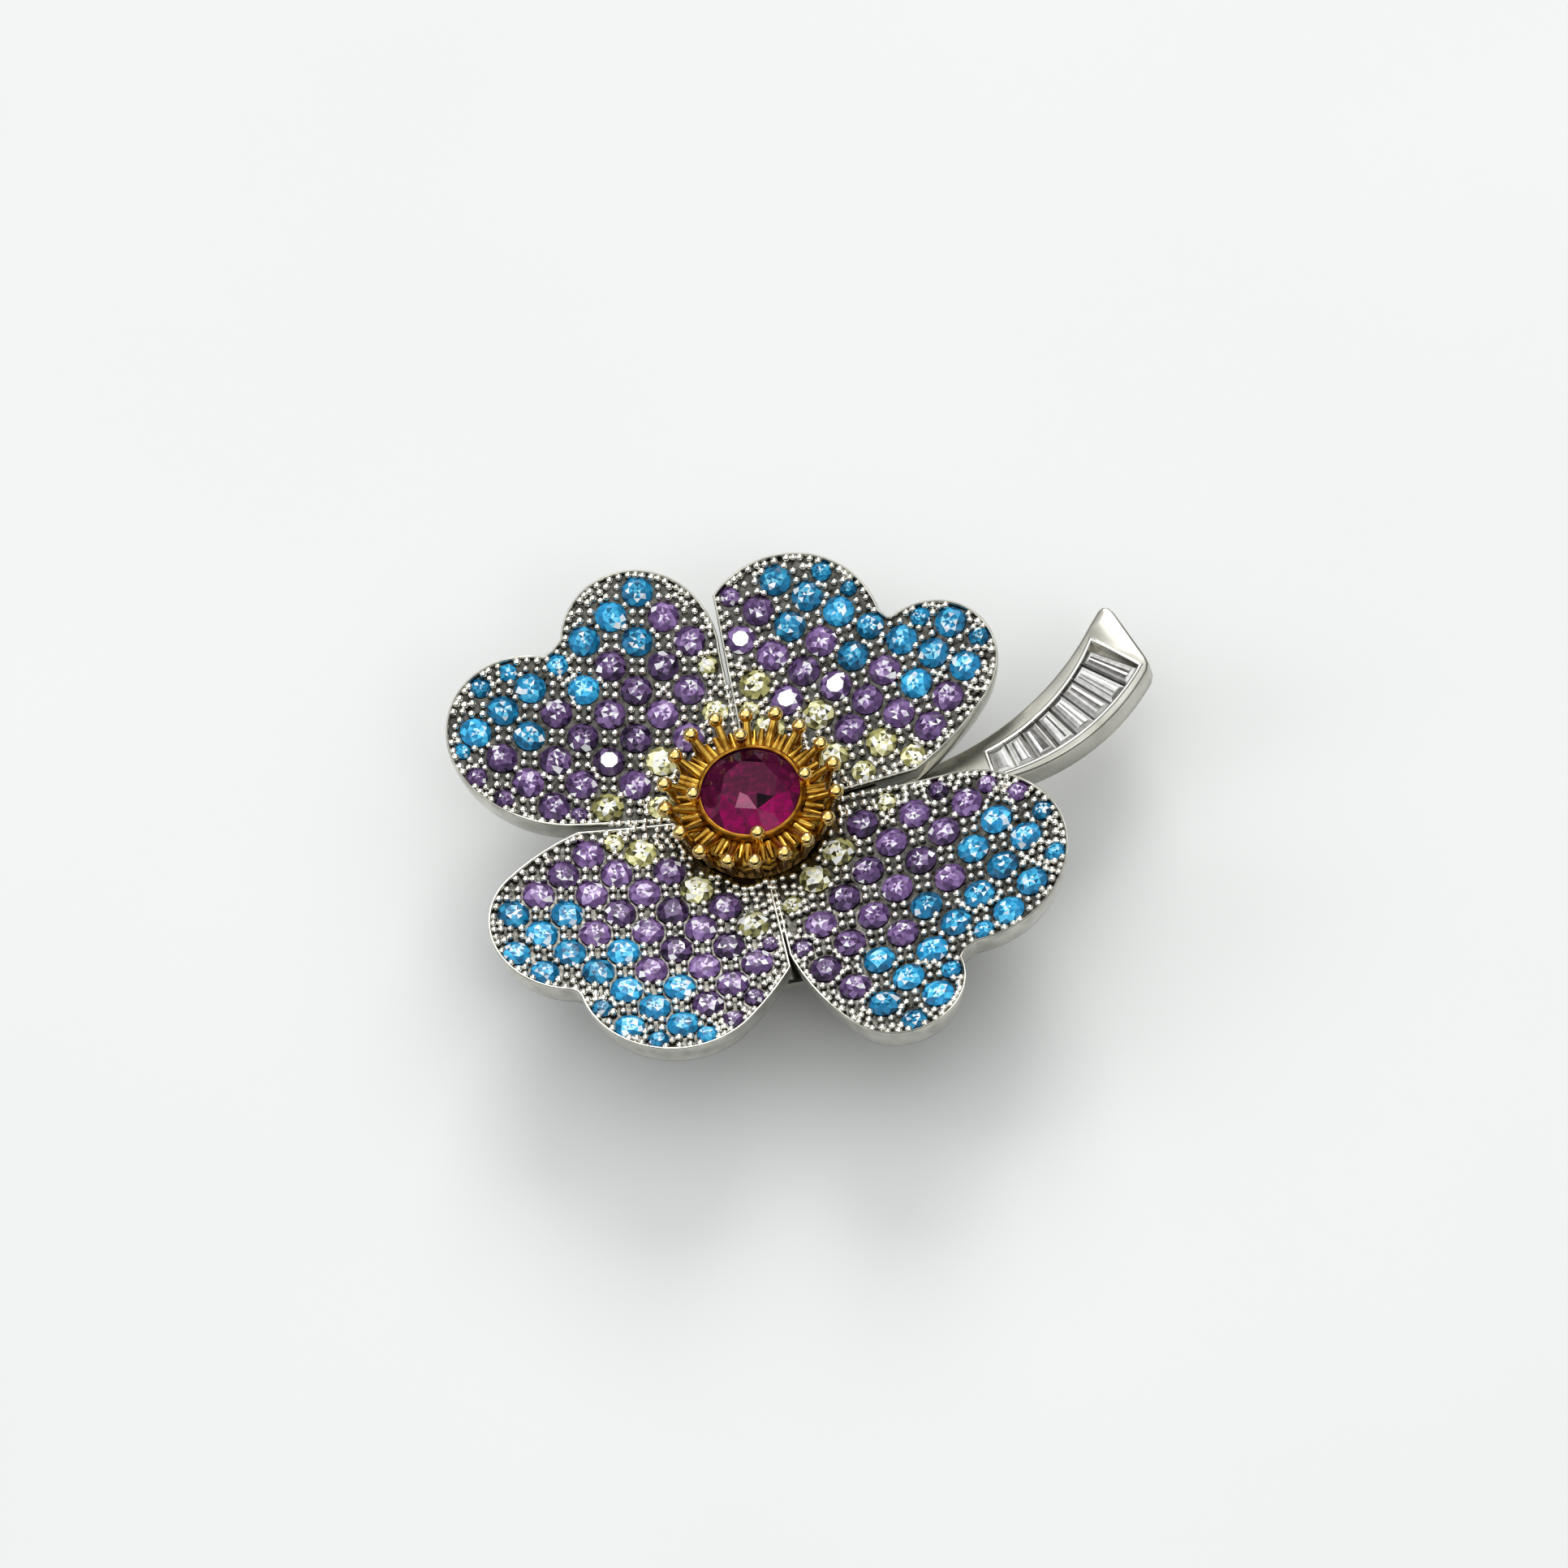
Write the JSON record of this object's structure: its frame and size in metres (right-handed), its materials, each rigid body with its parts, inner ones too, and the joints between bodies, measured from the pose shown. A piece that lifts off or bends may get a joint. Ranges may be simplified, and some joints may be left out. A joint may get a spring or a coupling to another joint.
{
  "type": "flower brooch",
  "caption": "Four-petal flower brooch with pave stones, a gold stamen crown round a red centre stone, a baguette-set stem and a hinged pin with a turning catch.",
  "frame": {"origin": "on the flower's axis, at the flat back face of the pin bar", "axes": "+Z along the flower's axis to the front, +X towards the stem's side, +Y from the catch towards the hinge"},
  "size_m": [0.042, 0.0344, 0.0108],
  "materials": {
    "rhodium_plate": "polished",
    "gold_plate": "polished",
    "pin_steel": "satin",
    "blue_stone": "faceted",
    "purple_stone": "faceted",
    "yellow_stone": "faceted",
    "red_stone": "faceted",
    "clear_stone": "faceted"
  },
  "bodies": {
    "flower": {"petal_nw": "rhodium_plate", "petal_ne": "rhodium_plate", "petal_se": "rhodium_plate", "petal_sw": "rhodium_plate", "nw_outer_stones": "blue_stone", "nw_middle_stones": "purple_stone", "nw_inner_stones": "yellow_stone", "ne_outer_stones": "blue_stone", "ne_middle_stones": "purple_stone", "ne_inner_stones": "yellow_stone", "se_outer_stones": "blue_stone", "se_middle_stones": "purple_stone", "se_inner_stones": "yellow_stone", "sw_outer_stones": "blue_stone", "sw_middle_stones": "purple_stone", "sw_inner_stones": "yellow_stone", "centre_plate": "rhodium_plate", "stamen_crown": "gold_plate", "ruby_setting": "gold_plate", "ruby": "red_stone", "stem_channel": "rhodium_plate", "stem_baguette_1": "clear_stone", "stem_baguette_2": "clear_stone", "stem_baguette_3": "clear_stone", "stem_baguette_4": "clear_stone", "stem_baguette_5": "clear_stone", "stem_baguette_6": "clear_stone", "stem_baguette_7": "clear_stone", "stem_baguette_8": "clear_stone", "pin_bar": "rhodium_plate", "hinge_bracket": "rhodium_plate", "hinge_rivet": "pin_steel", "catch_body": "rhodium_plate"},
    "pin": {"pin_stem": "pin_steel"},
    "catch": {"catch_rotor": "rhodium_plate"}
  },
  "joints": [
    {"name": "pin_hinge", "type": "hinge", "parent": "flower", "child": "pin", "pos_m": [0, 0.0084, -0.0018], "axis": [1, 0, 0], "range_deg": [0, 80]},
    {"name": "catch_turn", "type": "hinge", "parent": "flower", "child": "catch", "pos_m": [0, -0.0066, -0.0018], "axis": [0, 1, 0], "range_deg": [0, 100]}
  ]
}
